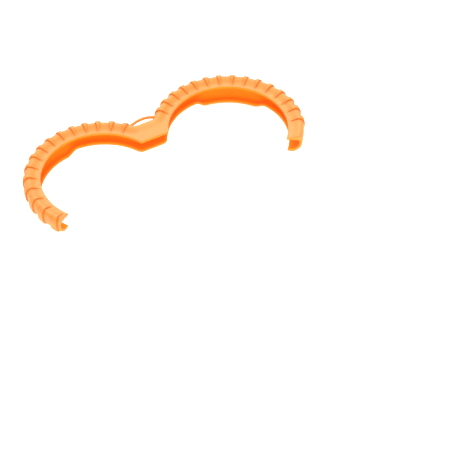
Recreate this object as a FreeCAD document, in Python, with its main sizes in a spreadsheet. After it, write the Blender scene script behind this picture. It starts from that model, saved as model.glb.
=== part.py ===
import FreeCAD, Part
import os, math
from FreeCAD import Vector, Rotation, Placement

# Drone propeller guard: one moulded silicone strip with two round lobes joined
# at a notch. Construction coordinates: x runs along the line through the two
# lobe centres, y points to the outside of the drone, z = 0 is the top face.
# The finished strip is moved so that the origin is the bottom centre of its box.

doc = FreeCAD.newDocument("propeller_guard")
sheet = doc.addObject("Spreadsheet::Sheet", "dims")
sheet.Label = "dims"

values = [
    # plan
    ("lobe_offset", 44.8),        # lobe centre to the middle of the strip
    ("flange_radius", 38.0),      # inner edge of the top flange
    ("lip_radius", 38.7),         # inner edge of the bottom lip
    ("wall_radius", 48.0),        # outside of the wall
    ("notch_inner", 14.7),        # straight inner edge of the top flange
    ("notch_lip", 15.9),          # straight inner edge of the bottom lip
    ("notch_outer", 29.5),        # outside of the wall in the notch
    ("notch_half", 9.8),          # half length of the notch block
    ("corner_radius", 4.5),       # rounded corners of the bottom lip
    ("start_angle", 22.76),       # where each lobe runs into the notch
    ("left_end_angle", 210.5),    # free end of the left lobe
    ("right_end_angle", 55.0),    # free end of the right lobe before trimming
    ("trim_x", 73.4),             # skewed end cut of the right lobe
    ("trim_y", -28.3),
    ("trim_angle", -32.0),
    # section
    ("depth_plain", 11.3),        # height of the ordinary section
    ("depth_deep", 15.3),         # height of the deep zones
    ("flange_thick", 1.6),
    ("wall_thick", 1.8),
    ("lip_thick", 2.5),
    ("crown_start", 40.2),        # where the flat flange begins to rise
    ("crown_height", 1.9),        # highest line of the wall above the flange
    ("notch_crown", 0.9),         # the same line across the notch
    ("shoulder_drop", 3.2),
    ("foot_inset", 6.2),          # lowest point inside the wall radius
    # deep zones, angles about the lobe centre, mirrored on the right lobe
    ("deep_rise_start", 87.0),
    ("deep_full_start", 98.0),
    ("deep_full_end", 144.0),
    ("deep_fall_end", 158.0),
    # ribs
    ("rib_height", 1.1),
    ("rib_half_width", 2.5),
    ("rib_flank", 0.75),          # sideways run of a rib flank
    ("rib_root", 0.6),            # depth of the rib root in the wall
    ("rib_foot_radius", 41.3),    # where they end under the lip
    # pull loop
    ("loop_thick", 1.7),
    ("loop_level", -1.7),
    ("loop_reach", 35.0),         # furthest point of the loop centre line
    # position of the finished strip
    ("shift_x", -0.004),
    ("shift_y", -8.312),
    ("shift_z", 15.52),
]
ribs_left = [44.5, 55.5, 66.25, 76.5, 87.1, 98.2, 109.1, 119.5, 130.5, 142.1,
             154.3, 166.4, 179.2, 192.2, 205.6]
ribs_right = [132.3, 121.4, 110.5, 99.9, 89.5, 78.7, 68.0, 57.3, 46.4, 35.8,
              24.8, 13.5, 2.5, -8.8, -21.1]
words = ["one", "two", "three", "four", "five", "six", "seven", "eight", "nine",
         "ten", "eleven", "twelve", "thirteen", "fourteen", "fifteen"]
for w, a in zip(words, ribs_left):
    values.append(("rib_left_" + w, a))
for w, a in zip(words, ribs_right):
    values.append(("rib_right_" + w, a))
for i, (name, v) in enumerate(values, start=1):
    sheet.set("A%d" % i, name)
    sheet.set("B%d" % i, repr(float(v)))
    sheet.setAlias("B%d" % i, name)
doc.recompute()


def d(name):
    return float(sheet.get(name))


LEFT, RIGHT = -1, 1


def place(lobe, angle):
    """Placement of a section drawn in the XZ plane, r = x, turned to an angle."""
    return Placement(Vector(lobe * d("lobe_offset"), 0, 0),
                     Rotation(Vector(0, 0, 1), angle))


def outer_points(depth, crown="crown_height"):
    """Outside of the wall from the shoulder to the lowest point, (r, z)."""
    k = (depth - d("shoulder_drop")) / (d("depth_plain") - d("shoulder_drop"))
    rw, sd = d("wall_radius"), d("shoulder_drop")
    run = d("depth_plain") - sd
    foot = rw - d("foot_inset")
    ch = d(crown)
    return [(d("crown_start"), 0.0),
            (rw - 4.5, 0.70 * ch),
            (rw - 2.1, ch),
            (rw - 0.35, 0.16 * ch),
            (rw, -sd * 0.78),
            (rw - 0.55, -sd - 0.40 * run * k),
            (rw - 2.25, -sd - 0.735 * run * k),
            (rw - 4.30, -sd - 0.935 * run * k),
            (foot, -depth)]


def outer_curve(depth, dr=0.0, crown="crown_height"):
    pts = [Vector(r + dr, 0, z) for r, z in outer_points(depth, crown)]
    c = Part.BSplineCurve()
    c.interpolate(Points=pts, InitialTangent=Vector(1, 0, 0),
                  FinalTangent=Vector(-1, 0, 0))
    return c


def inner_curve(depth, dr=0.0):
    t, ft, lt = d("wall_thick"), d("flange_thick"), d("lip_thick") - 0.1
    p = outer_points(depth)
    rw, sd = d("wall_radius"), d("shoulder_drop")
    pts = [(rw - t - 1.3, -ft), (rw - t, -sd - 0.1),
           (p[5][0] - t * 0.99, p[5][1] + 0.45),
           (p[6][0] - t * 0.92, p[6][1] + 1.2),
           (rw - 6.6, -depth + lt)]
    c = Part.BSplineCurve()
    c.interpolate(Points=[Vector(r + dr, 0, z) for r, z in pts],
                  InitialTangent=Vector(1, 0, 0), FinalTangent=Vector(-1, 0, 0))
    return c


def line(a, b):
    return Part.LineSegment(Vector(a[0], 0, a[1]), Vector(b[0], 0, b[1])).toShape()


def solid_wire(depth, flange, lip, dr=0.0, crown="crown_height"):
    """Closed outline of the section without its channel."""
    ft, lt = d("flange_thick") + 0.4, d("lip_thick")
    c = outer_curve(depth, dr, crown)
    top = (d("crown_start") + dr, 0.0)
    foot = (d("wall_radius") - d("foot_inset") + dr, -depth)
    h = lt / 2.0
    arc = Part.Arc(Vector(lip + h, 0, -depth), Vector(lip, 0, -depth + h),
                   Vector(lip + h, 0, -depth + lt)).toShape()
    return Part.Wire([line((flange, 0.0), top), c.toShape(),
                      line(foot, (lip + h, -depth)), arc,
                      line((lip + h, -depth + lt), (lip + h, -ft)),
                      line((lip + h, -ft), (flange, -ft)),
                      line((flange, -ft), (flange, 0.0))])


def channel_wire(depth, inner, dr=0.0):
    """Closed outline of the channel, running out through the open side."""
    c = inner_curve(depth, dr)
    a = c.value(c.FirstParameter)
    b = c.value(c.LastParameter)
    return Part.Wire([line((inner, a.z), (a.x, a.z)), c.toShape(),
                      line((b.x, b.z), (inner, b.z)),
                      line((inner, b.z), (inner, a.z))])


def smooth(t):
    t = max(0.0, min(1.0, t))
    return t * t * (3 - 2 * t)


def depth_at(lobe, angle):
    a = angle if lobe == LEFT else 180.0 - angle
    up = (a - d("deep_rise_start")) / (d("deep_full_start") - d("deep_rise_start"))
    dn = (a - d("deep_full_end")) / (d("deep_fall_end") - d("deep_full_end"))
    return d("depth_plain") + (d("depth_deep") - d("depth_plain")) * (smooth(up) - smooth(dn))


def lobe_wire(kind, lobe, angle):
    depth = depth_at(lobe, angle)
    if kind == "solid":
        w = solid_wire(depth, d("flange_radius"), d("lip_radius"))
    else:
        w = channel_wire(depth, d("flange_radius") - 2.5)
    w.Placement = place(lobe, angle)
    return w


def add(name, shape):
    o = doc.addObject("Part::Feature", name)
    o.Shape = shape
    return o


def spans(lobe, extra):
    """Angles of one lobe in the order of growing angle with their kind."""
    s0 = d("start_angle") - (10.0 if extra else 0.0)
    a, b, c, e = (d("deep_rise_start"), d("deep_full_start"),
                  d("deep_full_end"), d("deep_fall_end"))
    if lobe == LEFT:
        end = d("left_end_angle") + (4.0 if extra else 0.0)
        return [("turn", s0, a), ("blend", a, b), ("turn", b, c),
                ("blend", c, e), ("turn", e, end)]
    end = -d("right_end_angle") - (4.0 if extra else 0.0)
    return [("turn", end, 180 - e), ("blend", 180 - e, 180 - c),
            ("turn", 180 - c, 180 - b), ("blend", 180 - b, 180 - a),
            ("turn", 180 - a, 180 - s0)]


def lobe_solid(kind, lobe):
    """One lobe as a single skin: turned spans, blended spans and two end caps."""
    faces = []
    todo = spans(lobe, kind == "channel")
    centre = Vector(lobe * d("lobe_offset"), 0, 0)
    for how, a0, a1 in todo:
        if how == "turn":
            w = lobe_wire(kind, lobe, (a0 + a1) / 2.0)
            w.Placement = place(lobe, a0)
            faces += w.revolve(centre, Vector(0, 0, 1), a1 - a0).Faces
        else:
            n = 6
            ws = [lobe_wire(kind, lobe, a0 + (a1 - a0) * k / n) for k in range(n + 1)]
            faces += Part.makeLoft(ws, False, False).Faces
    for ang in (todo[0][1], todo[-1][2]):
        faces.append(Part.Face(lobe_wire(kind, lobe, ang)))
    shell = Part.makeShell(faces)
    shell.sewShape()
    solid = Part.makeSolid(shell)
    if solid.Volume < 0:
        solid.reverse()
    return solid


def along_x(wire, half):
    """A section drawn with r along x, used across the notch with r along y."""
    f = Part.Face(wire)
    f.Placement = Placement(Vector(-half, 0, 0), Rotation(Vector(0, 0, 1), 90))
    return f.extrude(Vector(2 * half, 0, 0))


dr = d("notch_outer") - d("wall_radius")
solids = [add("LobeLeft", lobe_solid("solid", LEFT)),
          add("LobeRight", lobe_solid("solid", RIGHT))]
solids.append(add("NotchSolid", along_x(
    solid_wire(d("depth_plain"), d("notch_inner"), d("notch_lip"), dr,
               "notch_crown"), d("notch_half"))))
channels = [add("ChannelLeft", lobe_solid("channel", LEFT)),
            add("ChannelRight", lobe_solid("channel", RIGHT))]
channels.append(add("NotchChannel", along_x(
    channel_wire(d("depth_plain"), d("notch_inner") - 4.0, dr), d("notch_half") - 1.9)))

# trims: bottom lip line of the notch, rounded lip corners, skewed right end
low = doc.addObject("Part::Box", "LipLineTrim")
low.Length, low.Width, low.Height = 24, 8, 12
low.setExpression("Placement.Base.x", "-12")
low.setExpression("Placement.Base.y", "dims.notch_lip - 0.03 - 8")
low.setExpression("Placement.Base.z", "-dims.depth_plain - 3")
low.setExpression("Height", "dims.depth_plain - 2")
trims = [low]
for lobe, name in ((LEFT, "Left"), (RIGHT, "Right")):
    cyl = doc.addObject("Part::Cylinder", "LipTrim" + name)
    cyl.setExpression("Radius", "dims.lip_radius - 0.04")
    cyl.setExpression("Height", "dims.depth_plain - 2")
    cyl.setExpression("Placement.Base.x",
                      ("-" if lobe == LEFT else "") + "dims.lobe_offset")
    cyl.setExpression("Placement.Base.z", "-dims.depth_plain - 3")
    trims.append(cyl)
    rc = d("corner_radius")
    cy = d("notch_lip") + rc
    cx = d("lobe_offset") - math.sqrt((d("lip_radius") + rc) ** 2 - cy ** 2)
    ux, uy = cx - d("lobe_offset"), cy
    n = math.hypot(ux, uy)
    tx, ty = d("lobe_offset") + ux / n * d("lip_radius"), uy / n * d("lip_radius")
    pts = [(cx, cy), (cx, cy - rc - 2), (cx + 8, cy - rc - 2), (tx + 2.2, ty - 1.1), (tx, ty)]
    z0 = -d("depth_plain") - 3
    poly = Part.makePolygon([Vector(lobe * px, py, z0) for px, py in pts + pts[:1]])
    wedge = Part.Face(poly).extrude(Vector(0, 0, d("depth_plain") - 2))
    disc = Part.makeCylinder(rc, 40, Vector(lobe * cx, cy, z0 - 5))
    trims.append(add("CornerTrim" + name, wedge.cut(disc)))
end = doc.addObject("Part::Box", "EndTrim")
end.Length, end.Width, end.Height = 60, 40, 60
rot = Rotation(Vector(0, 0, 1), d("trim_angle"))
end.Placement = Placement(Vector(d("trim_x"), d("trim_y"), -30)
                          + rot.multVec(Vector(-30, -40, 0)), rot)
trims.append(end)


def rib(lobe, angle):
    """One raised rib: trapezoid sections lofted along the outside of the wall."""
    depth = depth_at(lobe, angle)
    c = outer_curve(depth)
    f, l = c.FirstParameter, c.LastParameter
    hw, fl, root, hh = d("rib_half_width"), d("rib_flank"), d("rib_root"), d("rib_height")
    st = []
    for u, w, h in ((0.02, 0.17, 0.10), (0.14, 0.42, 0.55), (0.24, 0.64, 0.80), (0.365, 0.82, 0.96), (0.475, 0.97, 1.0), (0.60, 1.0, 1.0), (0.72, 0.93, 1.0), (0.84, 0.74, 0.97), (0.927, 0.50, 0.70)):
        st.append((None, f + (l - f) * u, w, h))
    # the rib runs out on the flat underside of the lip, past the end of the curve
    st.append((d("rib_foot_radius"), "low", 0.34, 0.20))
    wires = []
    for r, u, w, h in st:
        if u == "low":
            p, nrm = Vector(r, 0, -depth), Vector(0, 0, -1)
        else:
            p = c.value(u)
            t = c.tangent(u)[0]
            nrm = Vector(-t.z, 0, t.x)
        wb = max(0.5, hw * w)
        wt = max(0.14, wb - fl * min(1.0, 0.3 + h))
        a = p - nrm * root
        b = p + nrm * (hh * h)
        q = [Vector(a.x, -wb - fl * 0.4, a.z), Vector(a.x, wb + fl * 0.4, a.z),
             Vector(b.x, wt, b.z), Vector(b.x, -wt, b.z)]
        wires.append(Part.makePolygon(q + q[:1]))
    s = Part.makeLoft(wires, True, True)
    s.Placement = place(lobe, angle)
    return s


rib_objects = []
for w in words:
    rib_objects.append(add("RibLeft" + w.capitalize(), rib(LEFT, d("rib_left_" + w))))
    rib_objects.append(add("RibRight" + w.capitalize(), rib(RIGHT, d("rib_right_" + w))))

# pull loop across the notch: a round cord rooted in both lobes
reach, lv = d("loop_reach"), d("loop_level")
path_pts = [Vector(-10.6, reach - 3.7, lv), Vector(-8.2, reach - 2.3, lv),
            Vector(-5.2, reach - 1.2, lv), Vector(-2.0, reach - 0.3, lv),
            Vector(1.5, reach, lv), Vector(5.2, reach - 0.5, lv),
            Vector(8.0, reach - 1.7, lv), Vector(10.6, reach - 3.6, lv)]
pc = Part.BSplineCurve()
pc.interpolate(path_pts)
spine = Part.Wire(pc.toShape())
tg = pc.tangent(pc.FirstParameter)[0]
ring = Part.Wire(Part.makeCircle(d("loop_thick") / 2.0, path_pts[0], tg))
loop = add("PullLoop", spine.makePipeShell([ring], True, True))

doc.recompute()


# The lobes and the notch block meet in nearly flush faces; the booleans are
# plain Part functions, one tool at a time, and each result is checked.
def checked(name, shape):
    if len(shape.Solids) != 1 or not shape.isValid():
        raise RuntimeError("%s: %d solids, valid %s" % (name, len(shape.Solids), shape.isValid()))
    return shape.Solids[0]


body = checked("left and notch", solids[0].Shape.fuse(solids[2].Shape))
body = checked("both lobes", body.fuse(solids[1].Shape))
for tool in channels + trims:
    body = checked(tool.Name, body.cut(tool.Shape))
body = checked("loop", body.fuse(loop.Shape))
for o in rib_objects:
    # a rib edge may fall on a seam of the wall: it is then moved by a hair
    for nudge in (0.0, 0.06, -0.06, 0.13, -0.13, 0.2, -0.2):
        lobe = LEFT if "Left" in o.Name else RIGHT
        tool = o.Shape.copy()
        tool.rotate(Vector(lobe * d("lobe_offset"), 0, 0), Vector(0, 0, 1), nudge)
        joined = body.fuse(tool)
        if len(joined.Solids) == 1 and joined.isValid():
            o.Shape = tool
            break
    body = checked(o.Name, joined)
strip = add("GuardStrip", body)
strip.Label = "guard_strip"
for ax, cell in (("x", "shift_x"), ("y", "shift_y"), ("z", "shift_z")):
    strip.setExpression("Placement.Base." + ax, "dims." + cell)
doc.recompute()

for o in doc.Objects:
    bad = [s for s in o.State if s in ("Invalid", "Error")]
    if bad:
        raise RuntimeError("%s: %s" % (o.Name, bad))
shape = strip.Shape
print("valid", shape.isValid(), "solids", len(shape.Solids), "faces", len(shape.Faces),
      "volume", shape.Volume)
bb = shape.BoundBox
print("box", bb.XMin, bb.XMax, bb.YMin, bb.YMax, bb.ZMin, bb.ZMax)
if shape.isNull() or not shape.isValid() or len(shape.Solids) != 1:
    raise RuntimeError("the strip is not one valid solid")
os.makedirs("parts", exist_ok=True)
shape.exportStep("parts/guard_strip.step")
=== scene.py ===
import math

import bpy
import numpy as np
from mathutils import Matrix, Vector


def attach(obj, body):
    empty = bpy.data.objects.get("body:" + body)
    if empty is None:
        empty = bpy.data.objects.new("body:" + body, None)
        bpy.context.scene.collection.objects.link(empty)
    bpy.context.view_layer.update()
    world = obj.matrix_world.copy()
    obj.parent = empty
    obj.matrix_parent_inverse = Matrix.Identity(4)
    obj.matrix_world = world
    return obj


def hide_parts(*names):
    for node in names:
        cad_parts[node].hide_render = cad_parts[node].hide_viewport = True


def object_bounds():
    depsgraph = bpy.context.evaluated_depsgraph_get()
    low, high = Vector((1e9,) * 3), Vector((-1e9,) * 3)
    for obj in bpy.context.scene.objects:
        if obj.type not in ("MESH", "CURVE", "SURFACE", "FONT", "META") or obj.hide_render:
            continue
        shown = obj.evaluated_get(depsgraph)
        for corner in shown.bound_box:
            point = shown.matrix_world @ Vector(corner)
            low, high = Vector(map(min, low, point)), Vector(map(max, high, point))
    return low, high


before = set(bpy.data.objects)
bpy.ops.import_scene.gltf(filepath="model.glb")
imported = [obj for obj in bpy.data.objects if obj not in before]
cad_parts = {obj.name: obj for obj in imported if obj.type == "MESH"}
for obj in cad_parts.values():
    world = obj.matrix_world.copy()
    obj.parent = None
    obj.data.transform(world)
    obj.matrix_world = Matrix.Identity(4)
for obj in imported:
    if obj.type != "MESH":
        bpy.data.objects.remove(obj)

cad_box = [list(map(float, p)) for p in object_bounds()]

# ---------------------------------------------------------------- sizes, mm
# Construction coordinates: x through the two lobe centres, y to the outside,
# z = 0 on the flat top face. SHIFT moves them into the frame.
SHIFT = np.array([-0.004, -8.312, 15.52])
OFF = 44.8                       # lobe centre to the middle
R_FLANGE, R_LIP, R_WALL = 38.0, 38.7, 48.0
NOTCH_IN, NOTCH_LIP, NOTCH_OUT = 14.7, 15.9, 29.8
CORNER = 4.5
NOTCH_CROWN = 0.9
START = 22.76
LEFT_END = 210.5
TRIM = ((73.4, -28.3), -32.0)
H_PLAIN, H_DEEP = 11.3, 15.3
T_FLANGE, T_WALL, T_LIP = 1.6, 1.8, 2.5
CROWN_R, CROWN_H, SH_D, FOOT = 40.2, 1.9, 3.2, 6.2
DEEP = (87.0, 98.0, 144.0, 158.0)
RIB_H, RIB_W, RIB_F = 1.08, 2.5, 0.36
RIBS_L = [44.5, 55.5, 66.25, 76.5, 87.1, 98.2, 109.1, 119.5, 130.5, 142.1,
          154.3, 166.4, 179.2, 192.2, 205.6]
RIBS_R = [132.3, 121.4, 110.5, 99.9, 89.5, 78.7, 68.0, 57.3, 46.4, 35.8,
          24.8, 13.5, 2.5, -8.8, -21.1]
LOOP_T, LOOP_Z, LOOP_Y = 2.0, -1.7, 34.9


def smooth(t):
    t = max(0.0, min(1.0, t))
    return t * t * (3 - 2 * t)


def depth_at(side, ang):
    a = ang if side < 0 else 180.0 - ang
    return H_PLAIN + (H_DEEP - H_PLAIN) * (
        smooth((a - DEEP[0]) / (DEEP[1] - DEEP[0])) - smooth((a - DEEP[2]) / (DEEP[3] - DEEP[2])))


# ------------------------------------------------------------- section
def clamped_spline(pts, t0, t1, where):
    """Points on the cubic spline through pts with end directions t0, t1, at
    the given shares of its length or at that many equal steps."""
    p = np.array(pts, float)
    u = np.concatenate([[0], np.cumsum(np.hypot(*np.diff(p, axis=0).T))])
    m = len(p)
    a = np.zeros((m, m))
    b = np.zeros((m, 2))
    a[0, 0] = a[-1, -1] = 1
    b[0], b[-1] = t0, t1
    h = np.diff(u)
    for i in range(1, m - 1):
        a[i, i - 1], a[i, i + 1] = h[i], h[i - 1]
        a[i, i] = 2 * (h[i - 1] + h[i])
        b[i] = 3 * (h[i] * (p[i] - p[i - 1]) / h[i - 1] + h[i - 1] * (p[i + 1] - p[i]) / h[i])
    d = np.linalg.solve(a, b)
    q = (np.linspace(0, 1, where + 1) if isinstance(where, int) else np.array(where)) * u[-1]
    k = np.clip(np.searchsorted(u, q, side="right") - 1, 0, m - 2)
    s = ((q - u[k]) / h[k])[:, None]
    hk = h[k][:, None]
    pos = ((1 + 2 * s) * (1 - s) ** 2 * p[k] + s * (1 - s) ** 2 * hk * d[k]
           + s * s * (3 - 2 * s) * p[k + 1] + s * s * (s - 1) * hk * d[k + 1])
    return pos, q / u[-1]


def outer_points(depth):
    k = (depth - SH_D) / (H_PLAIN - SH_D)
    run = H_PLAIN - SH_D
    return [(CROWN_R, 0.0), (R_WALL - 4.5, 0.70 * CROWN_H), (R_WALL - 2.1, CROWN_H),
            (R_WALL - 0.35, 0.16 * CROWN_H), (R_WALL, -0.78 * SH_D),
            (R_WALL - 0.55, -SH_D - 0.40 * run * k), (R_WALL - 2.25, -SH_D - 0.735 * run * k),
            (R_WALL - 4.30, -SH_D - 0.935 * run * k), (R_WALL - FOOT, -depth)]


def inner_points(depth):
    lt = T_LIP - 0.1
    p = outer_points(depth)
    return [(R_WALL - T_WALL - 1.3, -T_FLANGE), (R_WALL - T_WALL, -SH_D - 0.1),
            (p[5][0] - T_WALL * 0.99, p[5][1] + 0.45),
            (p[6][0] - T_WALL * 0.92, p[6][1] + 1.2), (R_WALL - 6.6, -depth + lt)]


N_FLAT, N_TOP, N_SIDE, N_EDGE, N_LIP = 3, 11, 25, 3, 4
TOP_SHARE = 0.40
ANCHOR_IN, ANCHOR_MID, ANCHOR_OUT, ANCHOR_LIP = 0, 1, 2, 3
_cache = {}


def section(depth):
    """Rows of the outer skin and of the channel skin, same count each.

    Each row: (r, z, anchor, blend, u) with u the place along the wall curve
    (-1 on the flat top)."""
    key = round(depth, 4)
    if key in _cache:
        return _cache[key]
    e = 0.22
    out, ins = [], []
    # flange edge, from the middle of its rounded edge up to the top
    ft = T_FLANGE
    for i in range(N_EDGE + 1):
        a = math.pi / 2 * i / N_EDGE
        out.append((R_FLANGE + e - e * math.cos(a), -e + e * math.sin(a), ANCHOR_IN, 0.0, -1))
    out.insert(0, (R_FLANGE, -ft / 2, ANCHOR_IN, 0.0, -1))
    r0, r1 = R_FLANGE + e, CROWN_R
    for i in range(1, N_FLAT + 1):
        t = i / N_FLAT
        out.append((r0 + (r1 - r0) * t, 0.0, ANCHOR_MID, t, -1))
    share = [TOP_SHARE * i / N_TOP for i in range(N_TOP)] + [
        TOP_SHARE + (1 - TOP_SHARE) * i / N_SIDE for i in range(N_SIDE + 1)]
    pos, u = clamped_spline(outer_points(depth), (1, 0), (-1, 0), share)
    for (r, z), q in list(zip(pos, u))[1:]:
        out.append((r, z, ANCHOR_OUT, 1.0, q))
    h = T_LIP / 2
    out.append(((R_WALL - FOOT + R_LIP + h) / 2, -depth, ANCHOR_LIP, 0.5, 2.0))
    for i in range(N_LIP + 1):
        a = math.pi / 2 * i / N_LIP
        out.append((R_LIP + h - h * math.sin(a), -depth + h - h * math.cos(a), ANCHOR_LIP, 1.0, 2.0))
    n = len(out)
    # channel skin, from the flange edge inwards to the lip
    ins.append((R_FLANGE, -ft / 2 - 0.001, ANCHOR_IN, 0.0, -1))
    for i in range(N_EDGE + 1):
        a = math.pi / 2 * i / N_EDGE
        ins.append((R_FLANGE + e - e * math.cos(a), -ft + e - e * math.sin(a), ANCHOR_IN, 0.0, -1))
    r2 = R_WALL - T_WALL - 1.3
    for i in range(1, N_FLAT + N_TOP + 1):
        t = i / (N_FLAT + N_TOP)
        ins.append((r0 + (r2 - r0) * t, -ft, ANCHOR_MID, t, -1))
    pos, u = clamped_spline(inner_points(depth), (1, 0), (-1, 0), N_SIDE)
    for (r, z), q in list(zip(pos, u))[1:]:
        ins.append((r, z, ANCHOR_OUT, 1.0, q))
    ins.append(((R_WALL - 6.6 + R_LIP + h) / 2, -depth + T_LIP - 0.05, ANCHOR_LIP, 0.5, 2.0))
    for i in range(N_LIP + 1):
        a = math.pi / 2 * i / N_LIP
        ins.append((R_LIP + h - h * math.sin(a), -depth + h + h * math.cos(a), ANCHOR_LIP, 1.0, 2.0))
    assert len(ins) == n
    # drop the doubled middle rows of both rounded edges
    rows = out + ins[::-1][1:-1]
    _cache[key] = (rows, n)
    return _cache[key]


def normals(rows, n):
    """Outward normals (r, z) of the first n rows."""
    p = np.array([(r[0], r[1]) for r in rows[:n]])
    t = np.zeros_like(p)
    t[1:-1] = p[2:] - p[:-2]
    t[0], t[-1] = p[1] - p[0], p[-1] - p[-2]
    nn = np.stack([-t[:, 1], t[:, 0]], 1)
    nn /= np.linalg.norm(nn, axis=1)[:, None]
    return nn


W_U = ([0.0, 0.02, 0.14, 0.24, 0.365, 0.475, 0.60, 0.72, 0.84, 0.927, 1.0],
       [0.16, 0.18, 0.42, 0.64, 0.82, 0.97, 1.0, 0.93, 0.74, 0.50, 0.38],
       [0.20, 0.30, 0.66, 0.82, 0.96, 1.0, 1.0, 1.0, 0.97, 0.70, 0.19])


def rib_size(row):
    """Half width of the rib foot and height of the rib at one row."""
    r, z, anchor, blend, u = row
    if anchor == ANCHOR_LIP:
        return RIB_W * 0.34, (0.17 if blend < 1.0 else 0.0)
    if u < 0:
        return 0.55, RIB_H * 0.20 * max(0.0, 1 - (CROWN_R - r) / 1.0)
    w = float(np.interp(u, W_U[0], W_U[1]))
    h = float(np.interp(u, W_U[0], W_U[2]))
    return max(0.55, RIB_W * w), RIB_H * h


# columns across one rib: (sign, place, height), place 0 = middle .. see below
RIB_COLS = [(-1, "far", 0.0), (-1, "foot", -0.13), (-1, "foot_in", -0.04), (-1, "flank", 0.50),
            (-1, "brow", 0.90), (-1, "top", 1.0), (-1, "half", 1.03), (0, "mid", 1.04)]
# painted shade at the rib feet and flanks, stronger on the flanks that face the front of the drone
NEAR = (-0.492, -0.870)
RIB_SHADE_WEIGHT = {"far": 0.25, "foot": 1.0, "foot_in": 1.0, "flank": 0.75, "brow": 0.12}
RIB_COLS = RIB_COLS + [(-s, k, h) for s, k, h in RIB_COLS[:-1][::-1]]


def rib_offset(sign, place, w, h):
    f = RIB_F * min(1.0, 0.3 + h / RIB_H)
    top = max(0.14, w - f)
    d = {"far": w + 0.50, "foot": w + 0.12, "foot_in": w, "flank": (w + top) / 2,
         "brow": top + 0.05, "top": top * 0.86, "half": top * 0.45, "mid": 0.0}[place]
    return sign * d


RC = 46.0        # radius at which rib widths are measured


# ------------------------------------------------------------- plan curves
def on_circle(side, r, deg):
    a = math.radians(deg)
    return np.array([side * OFF + r * math.cos(a), r * math.sin(a)])


def path_points(pts, fr):
    """Points at arc-length fractions fr along a polyline."""
    p = np.array(pts, float)
    s = np.concatenate([[0], np.cumsum(np.hypot(*np.diff(p, axis=0).T))])
    q = np.array(fr) * s[-1]
    return np.stack([np.interp(q, s, p[:, 0]), np.interp(q, s, p[:, 1])], 1)


def notch_columns(a0):
    """Left half of the notch: inner, outer and lip outline points per column,
    from the lobe section at angle a0 to the middle of the notch."""
    side = -1
    arc = [a0 + (START - a0) * i / 9 for i in range(10)]
    inner = [on_circle(side, R_FLANGE, a) for a in arc]
    xc = inner[-1][0]
    line_fr = [0.06, 0.16, 0.3, 0.47, 0.64, 0.82, 1.0]
    inner += [np.array([xc * (1 - f), NOTCH_IN]) for f in line_fr]
    # outside: lobe circle, a small fillet and the straight notch wall
    rf = 3.5
    cy = NOTCH_OUT + rf
    cx = -OFF + math.sqrt((R_WALL + rf) ** 2 - cy ** 2)
    th = math.degrees(math.atan2(cy, cx + OFF))
    pts = [on_circle(side, R_WALL, a0 + (th - a0) * i / 12) for i in range(13)] if a0 > th else [
        on_circle(side, R_WALL, th)]
    b0 = math.atan2(-cy, -OFF - cx)
    b1 = -math.pi / 2
    if b0 > 0:
        b0 -= 2 * math.pi
    for i in range(1, 17):
        b = b0 + (b1 - b0) * i / 16
        pts.append(np.array([cx + rf * math.cos(b), cy + rf * math.sin(b)]))
    pts.append(np.array([0.0, NOTCH_OUT]))
    fr = [0.0] + [0.045 * i for i in range(1, 10)] + [0.45, 0.50, 0.57, 0.66, 0.76, 0.88, 1.0]
    outer = path_points(pts, fr)
    # lip: circle, rounded corner, straight line
    ly = NOTCH_LIP + CORNER
    lx = -OFF + math.sqrt((R_LIP + CORNER) ** 2 - ly ** 2)
    tl = math.degrees(math.atan2(ly, lx + OFF))
    lp = [on_circle(side, R_LIP, a0 + (tl - a0) * i / 12) for i in range(13)]
    c0 = math.atan2(-ly, -OFF - lx)
    if c0 > 0:
        c0 -= 2 * math.pi
    for i in range(1, 13):
        b = c0 + (-math.pi / 2 - c0) * i / 12
        lp.append(np.array([lx + CORNER * math.cos(b), ly + CORNER * math.sin(b)]))
    lp.append(np.array([0.0, NOTCH_LIP]))
    s = np.concatenate([[0], np.cumsum(np.hypot(*np.diff(np.array(lp), axis=0).T))])
    corner = (s[12] + s[24]) / 2 / s[-1]
    fl = [corner * i / 9 for i in range(10)] + [corner + (1 - corner) * f for f in line_fr]
    lip = path_points(lp, fl)
    return inner, list(outer), list(lip)


# ------------------------------------------------------------- columns
class Column:
    """One cross-section line of the strip."""

    def __init__(self, kind, side=0, ang=0.0, rib=None, col=None, pts=None, mirror=False,
                 skew=None, inset=0.0):
        self.kind, self.side, self.ang, self.rib, self.col = kind, side, ang, rib, col
        self.pts, self.mirror, self.skew, self.inset = pts, mirror, skew, inset


def lobe_angle(c, row):
    """Polar angle of a lobe column at one row."""
    if c.kind == "rib":
        w, h = rib_size(row)
        sign, place, _ = c.col
        return c.ang + math.degrees(rib_offset(sign, place, w, h) / RC)
    if c.kind == "between":
        a = lobe_angle(c.pts[0], row)
        b = lobe_angle(c.pts[1], row)
        return a + (b - a) * c.skew
    if c.kind == "end":
        t = (row[0] - R_FLANGE) / (R_WALL - R_FLANGE)
        return c.skew[0] + (c.skew[1] - c.skew[0]) * t
    return c.ang


def lobe_columns(side, ribs):
    """Columns over the ribs of one lobe, in the order of the list of ribs."""
    cols = []
    prev = None
    up = ribs[1] > ribs[0]
    order = RIB_COLS if up else [(-s, k, h) for s, k, h in RIB_COLS]
    for a in ribs:
        mine = [Column("rib", side, a, rib=a, col=c) for c in order]
        if prev is not None:
            for f in (0.25, 0.5, 0.75):
                cols.append(Column("between", side, pts=(prev, mine[0]), skew=f))
        cols += mine
        prev = mine[-1]
    return cols


cols = []
# left end
left = lobe_columns(-1, RIBS_L)[::-1]
END_STEPS = ((0.0, 0.34), (0.10, 0.14), (0.32, 0.0))
for d, ins in END_STEPS:
    a = LEFT_END - math.degrees(d / RC)
    cols.append(Column("end", -1, skew=(a, a), inset=ins))
cols += left
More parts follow.
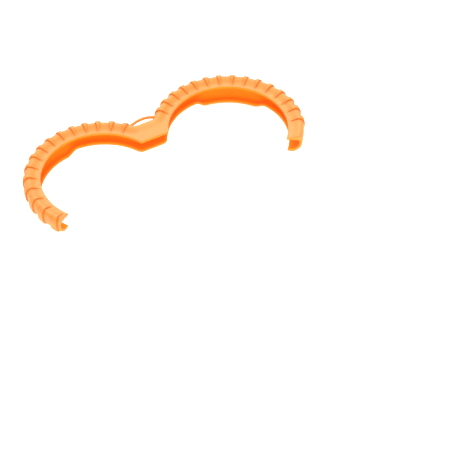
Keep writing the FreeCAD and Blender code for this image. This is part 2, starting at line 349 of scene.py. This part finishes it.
# notch
A0 = RIBS_L[0] - math.degrees((RIB_W + 0.55) / RC) - 0.3
nl = notch_columns(A0)
A1 = 180.0 - (RIBS_R[0] + math.degrees((RIB_W + 0.55) / RC) + 0.3)
nr = notch_columns(A1)
for i in range(len(nl[0])):
    cols.append(Column("notch", pts=(nl[0][i], nl[1][i], nl[2][i]),
                       skew=1 + (NOTCH_CROWN / CROWN_H - 1) * smooth(i / 13)))
mx = np.array([-1.0, 1.0])
for i in range(len(nr[0]) - 2, -1, -1):
    cols.append(Column("notch", pts=(nr[0][i] * mx, nr[1][i] * mx, nr[2][i] * mx),
                       skew=1 + (NOTCH_CROWN / CROWN_H - 1) * smooth(i / 13)))
# right lobe
right = lobe_columns(1, RIBS_R)
cols += right
# right end, turning from radial to the skewed cut
(tx, ty), tdeg = TRIM
dx, dy = math.cos(math.radians(tdeg)), math.sin(math.radians(tdeg))
ex, ey = tx - OFF, ty


def cut_angle(r):
    b = ex * dx + ey * dy
    t = -b + math.sqrt(b * b - (ex * ex + ey * ey - r * r))
    return math.degrees(math.atan2(ey + t * dy, ex + t * dx))


e_in, e_out = cut_angle(R_FLANGE), cut_angle(R_WALL)
start = RIBS_R[-1] - math.degrees((RIB_W + 0.55) / RC)
n_end = 14
for i in range(1, n_end):
    f = i / n_end
    cols.append(Column("end", 1, skew=(start + (e_in - start) * f, start + (e_out - start) * f)))
for d, ins in END_STEPS[::-1]:
    da = math.degrees(d / RC)
    cols.append(Column("end", 1, skew=(e_in + da, e_out + da), inset=ins))


DEPTHS = np.linspace(H_PLAIN, H_DEEP, 41)
META, N_OUT = section(H_PLAIN)
TAB = np.array([[(q[0], q[1]) for q in section(h)[0]] for h in DEPTHS])
NRM = np.array([normals(section(h)[0], N_OUT) for h in DEPTHS])


def row_at(i, depth):
    """r, z and outward normal of row i at a given depth."""
    f = min(40.0, max(0.0, (depth - H_PLAIN) / (H_DEEP - H_PLAIN) * 40))
    k = min(39, int(f))
    f -= k
    p = TAB[k, i] * (1 - f) + TAB[k + 1, i] * f
    q = NRM[k, i] * (1 - f) + NRM[k + 1, i] * f if i < N_OUT else None
    return p[0], p[1], q


def centre_of_band(rows, n):
    """For every row the matching row on the other skin, for the rounded ends."""
    total = len(rows)
    mate = [0] * total
    for i in range(n):
        j = total - i if i else 0
        if i == n - 1:
            j = i
        mate[i] = j % total
        mate[j % total] = i
    return mate


def build_strip():
    verts, painted_shade = [], []
    total = None
    for c in cols:
        if c.kind == "notch":
            depth = H_PLAIN
            rows, n = section(depth)
            pin, pout, plip = c.pts
            e = (pout - pin) / np.linalg.norm(pout - pin)
            pts = []
            for r, z, anchor, blend, u in rows:
                if anchor == ANCHOR_IN:
                    q = pin + e * (r - R_FLANGE)
                elif anchor == ANCHOR_OUT:
                    q = pout - e * (R_WALL - r)
                elif anchor == ANCHOR_MID:
                    a = pin + e * 0.22
                    far = CROWN_R if z > -0.5 else (R_WALL - T_WALL - 1.3)
                    b = pout - e * (R_WALL - far)
                    q = a + (b - a) * blend
                else:
                    b = pout - e * (R_WALL - (R_WALL - FOOT))
                    q = plip + e * (r - R_LIP)
                    if blend < 1.0:
                        q = (b + plip + e * (T_LIP / 2)) / 2
                pts.append((q[0], q[1], z * c.skew if z > 0 else z))
                painted_shade.append(0.0)
            pts = np.array(pts)
        else:
            rows, n = META, N_OUT
            pts = []
            for i, row in enumerate(rows):
                anchor, blend, u = row[2:]
                if i < n:
                    w, h = rib_size(row)
                    a = lobe_angle(c, row)
                    r, z, nn = row_at(i, depth_at(c.side, a))
                    if c.kind == "rib" and h > 0:
                        hh = h * c.col[2]
                        r, z = r + nn[0] * hh, z + nn[1] * hh
                        z = max(z, -depth_at(c.side, a) - 0.215)
                        turned = math.radians(c.ang)
                        near = c.col[0] * (NEAR[0] * -math.sin(turned) + NEAR[1] * math.cos(turned))
                        # painted shade weight: full on the flanks facing the front, 0.4 on the
                        # others
                        painted_shade.append(RIB_SHADE_WEIGHT.get(c.col[1], 0.0) * min(1.0, h / RIB_H * 5.0)
                                      * (1.0 if near > 0 else 0.4))
                    else:
                        painted_shade.append(0.0)
                else:
                    a = lobe_angle(c, (row[0], row[1], anchor, blend, 0.4))
                    r, z, nn = row_at(i, depth_at(c.side, a))
                    painted_shade.append(0.0)
                p = on_circle(c.side, r, a)
                pts.append((p[0], p[1], z))
            pts = np.array(pts)
        total = len(rows)
        if c.inset > 0:
            mate = centre_of_band(rows, n)
            other = pts[mate]
            d = other - pts
            l = np.linalg.norm(d, axis=1)[:, None]
            l[l < 1e-6] = 1
            pts = pts + d / l * np.minimum(c.inset, 0.42 * l)
        verts.append(pts)
    v = np.concatenate(verts)
    m = len(cols)
    faces = []
    for i in range(m - 1):
        a, b = i * total, (i + 1) * total
        for j in range(total):
            k = (j + 1) % total
            faces.append((a + j, b + j, b + k, a + k))
    # end caps as quads across the wall
    for base, flip in ((0, False), ((m - 1) * total, True)):
        for i in range(n - 1):
            o0, o1 = i, i + 1
            i0 = (total - i) % total
            i1 = total - (i + 1) if i + 1 < n - 1 else n - 1
            q = [o0, o1, i1, i0]
            q = [x for k, x in enumerate(q) if x not in q[:k]]
            if len(q) < 3:
                continue
            q = [base + x for x in q]
            faces.append(tuple(q[::-1] if flip else q))
    # the front face of the flange counts as inside, and rib feet are dull; the painted shade mask
    # also lowers their specular
    inner = np.tile([0.0 if 3 <= i < n else 1.0 for i in range(total)], m)
    inner = np.maximum(inner, 0.8 * np.array(painted_shade))
    return v, faces, painted_shade, inner


def make_mesh(name, v, faces):
    me = bpy.data.meshes.new(name)
    # nothing stands out of the part's own box
    p = np.clip((np.asarray(v) + SHIFT) / 1000.0, np.array(cad_box[0]) + 1e-6,
                np.array(cad_box[1]) - 1e-6)
    me.from_pydata([tuple(q) for q in p], [], faces)
    me.validate()
    me.update()
    o = bpy.data.objects.new(name, me)
    bpy.context.scene.collection.objects.link(o)
    for p in me.polygons:
        p.use_smooth = True
    return o


v, faces, painted_shade, inner = build_strip()
strip = make_mesh("guard_strip_skin", v, faces)
# painted shade mask of the rib feet, read by the material
strip.data.attributes.new("painted_shade", "FLOAT", "POINT").data.foreach_set("value", painted_shade)
strip.data.attributes.new("inner", "FLOAT", "POINT").data.foreach_set("value", inner)

# pull loop: a round cord rooted in both lobes
pts = [(-11.2, LOOP_Y - 4.2), (-8.2, LOOP_Y - 2.3), (-5.2, LOOP_Y - 1.2), (-2.0, LOOP_Y - 0.3),
       (1.5, LOOP_Y), (5.2, LOOP_Y - 0.5), (8.0, LOOP_Y - 1.7), (11.0, LOOP_Y - 4.0)]
path, q = clamped_spline(pts, (0.8, 0.5), (0.75, -0.66), 56)
lv, lf = [], []
ring = 20
for i, p in enumerate(path):
    a = path[min(i + 1, len(path) - 1)] - path[max(i - 1, 0)]
    a /= np.linalg.norm(a)
    side = np.array([-a[1], a[0]])
    # the cord flares where it runs into the wall
    flare = 1 + 0.9 * math.exp(-min(q[i], 1 - q[i]) * 13)
    for k in range(ring):
        b = 2 * math.pi * k / ring
        rr = LOOP_T / 2 * flare
        lv.append((p[0] + side[0] * rr * math.cos(b), p[1] + side[1] * rr * math.cos(b),
                   LOOP_Z + LOOP_T / 2 * math.sin(b)))
for i in range(len(path) - 1):
    for k in range(ring):
        a, b = i * ring + k, i * ring + (k + 1) % ring
        lf.append((a, b, b + ring, a + ring))
lf.append(tuple(range(ring))[::-1])
lf.append(tuple(range((len(path) - 1) * ring, len(path) * ring)))
loop = make_mesh("pull_loop", lv, lf)

for o in (strip, loop):
    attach(o, "root")
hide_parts("guard_strip")


# ------------------------------------------------------------- material
def silicone():
    m = bpy.data.materials.new("orange_silicone")
    m.use_nodes = True
    nt = m.node_tree
    nt.nodes.clear()
    out = nt.nodes.new("ShaderNodeOutputMaterial")
    bs = nt.nodes.new("ShaderNodeBsdfPrincipled")
    nt.links.new(bs.outputs["BSDF"], out.inputs["Surface"])
    tc = nt.nodes.new("ShaderNodeTexCoord")
    mp = nt.nodes.new("ShaderNodeMapping")
    nt.links.new(tc.outputs["Object"], mp.inputs["Vector"])
    # slow colour drift of the pigment
    n1 = nt.nodes.new("ShaderNodeTexNoise")
    n1.inputs["Scale"].default_value = 38.0
    n1.inputs["Detail"].default_value = 4.0
    nt.links.new(mp.outputs["Vector"], n1.inputs["Vector"])
    ramp = nt.nodes.new("ShaderNodeValToRGB")
    ramp.color_ramp.elements[0].position = 0.3
    ramp.color_ramp.elements[0].color = (0.98, 0.264, 0.007, 1)
    ramp.color_ramp.elements[1].position = 0.7
    ramp.color_ramp.elements[1].color = (1.0, 0.286, 0.011, 1)
    nt.links.new(n1.outputs["Fac"], ramp.inputs["Fac"])
    # painted shade: the feet of the ribs are darkened towards a deep orange by the shade mask
    at_ = nt.nodes.new("ShaderNodeAttribute")
    at_.attribute_name = "painted_shade"
    amount = nt.nodes.new("ShaderNodeMath")
    amount.operation = "MULTIPLY"
    amount.inputs[1].default_value = 0.75
    nt.links.new(at_.outputs["Fac"], amount.inputs[0])
    mix = nt.nodes.new("ShaderNodeMix")
    mix.data_type = "RGBA"
    nt.links.new(amount.outputs["Value"], mix.inputs["Factor"])
    nt.links.new(ramp.outputs["Color"], mix.inputs["A"])
    # deep orange of the painted shade
    mix.inputs["B"].default_value = (0.60, 0.125, 0.003, 1)
    nt.links.new(mix.outputs["Result"], bs.inputs["Base Color"])
    # fine moulded texture
    n2 = nt.nodes.new("ShaderNodeTexNoise")
    n2.inputs["Scale"].default_value = 2600.0
    n2.inputs["Detail"].default_value = 3.0
    nt.links.new(mp.outputs["Vector"], n2.inputs["Vector"])
    n3 = nt.nodes.new("ShaderNodeTexNoise")
    n3.inputs["Scale"].default_value = 260.0
    n3.inputs["Detail"].default_value = 2.0
    nt.links.new(mp.outputs["Vector"], n3.inputs["Vector"])
    mr = nt.nodes.new("ShaderNodeMapRange")
    mr.inputs["To Min"].default_value = 0.52
    mr.inputs["To Max"].default_value = 0.66
    nt.links.new(n3.outputs["Fac"], mr.inputs["Value"])
    nt.links.new(mr.outputs["Result"], bs.inputs["Roughness"])
    bump = nt.nodes.new("ShaderNodeBump")
    bump.inputs["Strength"].default_value = 0.12
    bump.inputs["Distance"].default_value = 0.00008
    nt.links.new(n2.outputs["Fac"], bump.inputs["Height"])
    nt.links.new(bump.outputs["Normal"], bs.inputs["Normal"])
    # the channel is left rough from the mould core, the outside is polished a little
    ai = nt.nodes.new("ShaderNodeAttribute")
    ai.attribute_name = "inner"
    sp = nt.nodes.new("ShaderNodeMapRange")
    sp.inputs["To Min"].default_value = 1.0
    sp.inputs["To Max"].default_value = 0.05
    nt.links.new(ai.outputs["Fac"], sp.inputs["Value"])
    nt.links.new(sp.outputs["Result"], bs.inputs["Specular IOR Level"])
    bs.inputs["IOR"].default_value = 1.48
    bs.inputs["Subsurface Weight"].default_value = 0.10
    bs.inputs["Subsurface Radius"].default_value = (1.0, 0.35, 0.08)
    bs.inputs["Subsurface Scale"].default_value = 0.0008
    bs.inputs["Sheen Weight"].default_value = 0.12
    bs.inputs["Sheen Roughness"].default_value = 0.5
    return m


mat = silicone()
for o in (strip, loop):
    o.data.materials.append(mat)

# ------------------------------------------------------------- stage
floor_me = bpy.data.meshes.new("floor")
floor_me.from_pydata([(-6, -6, 0), (6, -6, 0), (6, 6, 0), (-6, 6, 0)], [], [(0, 1, 2, 3)])
floor = bpy.data.objects.new("floor", floor_me)
bpy.context.scene.collection.objects.link(floor)
fm = bpy.data.materials.new("floor_white")
fm.use_nodes = True
fb = fm.node_tree.nodes["Principled BSDF"]
fb.inputs["Base Color"].default_value = (0.93, 0.93, 0.93, 1)
fb.inputs["Roughness"].default_value = 0.9
fb.inputs["Specular IOR Level"].default_value = 0.1
fb.inputs["Emission Color"].default_value = (1, 1, 1, 1)
fb.inputs["Emission Strength"].default_value = 0.62
floor_me.materials.append(fm)
floor.location.z = -0.0002

world = bpy.data.worlds.new("studio")
bpy.context.scene.world = world
world.use_nodes = True
world.node_tree.nodes["Background"].inputs["Color"].default_value = (1, 1, 1, 1)
world.node_tree.nodes["Background"].inputs["Strength"].default_value = 0.50

# camera: fitted to the arcs of the photo, 2000 px focal length on 452 px
F_PX, EL, YAW = 2000.0, math.radians(45.778), math.radians(29.485)
SCALE, RI = 63.085, 38.0
MID = ((-2.01527 + 0.03747) / 2, (1.14545 + 2.30613) / 2)
c, s = math.cos(-YAW), math.sin(-YAW)
ox = (-MID[0] * c + MID[1] * s) * RI
oy = (-MID[0] * s - MID[1] * c) * RI
right_v = Vector((c, s, 0))
away = Vector((-s, c, 0))
look = away * math.cos(EL) + Vector((0, 0, -math.sin(EL)))
up_v = away * math.sin(EL) + Vector((0, 0, math.cos(EL)))
dist = F_PX / SCALE * RI / 1000.0
target = (Vector((ox, oy, 0)) + Vector(SHIFT.tolist())) / 1000.0
cam_d = bpy.data.cameras.new("camera")
cam = bpy.data.objects.new("camera", cam_d)
bpy.context.scene.collection.objects.link(cam)
cam_d.sensor_width = 36.0
cam_d.lens = F_PX / 452.0 * 36.0
cam_d.clip_start, cam_d.clip_end = 0.05, 50
m = Matrix((right_v, up_v, -look)).transposed().to_4x4()
m.translation = target - look * dist
cam.matrix_world = m
bpy.context.scene.camera = cam


def area(name, loc, aim, size, power, col=(1, 1, 1)):
    ld = bpy.data.lights.new(name, "AREA")
    ld.shape = "SQUARE"
    ld.size = size
    ld.energy = power
    ld.color = col
    o = bpy.data.objects.new(name, ld)
    bpy.context.scene.collection.objects.link(o)
    o.location = loc
    o.rotation_euler = (Vector(aim) - Vector(loc)).to_track_quat("-Z", "Y").to_euler()
    return o


def at(r, f, h):
    """A place given to the right of, away from and above the object as the camera sees it."""
    return right_v * r + away * f + Vector((0, 0, h))


area("key", at(-0.15, 1.0, 1.05), (0, 0, 0), 1.5, 20.5)
area("top", at(0.0, 0.15, 1.35), (0, 0, 0), 1.2, 5.0)
area("fill", at(0.2, -1.2, 0.55), (0, 0, 0), 1.0, 8.0)

sc = bpy.context.scene
sc.view_settings.view_transform = "Standard"
sc.view_settings.look = "None"
sc.view_settings.exposure = 0.0
sc.view_settings.gamma = 1.0
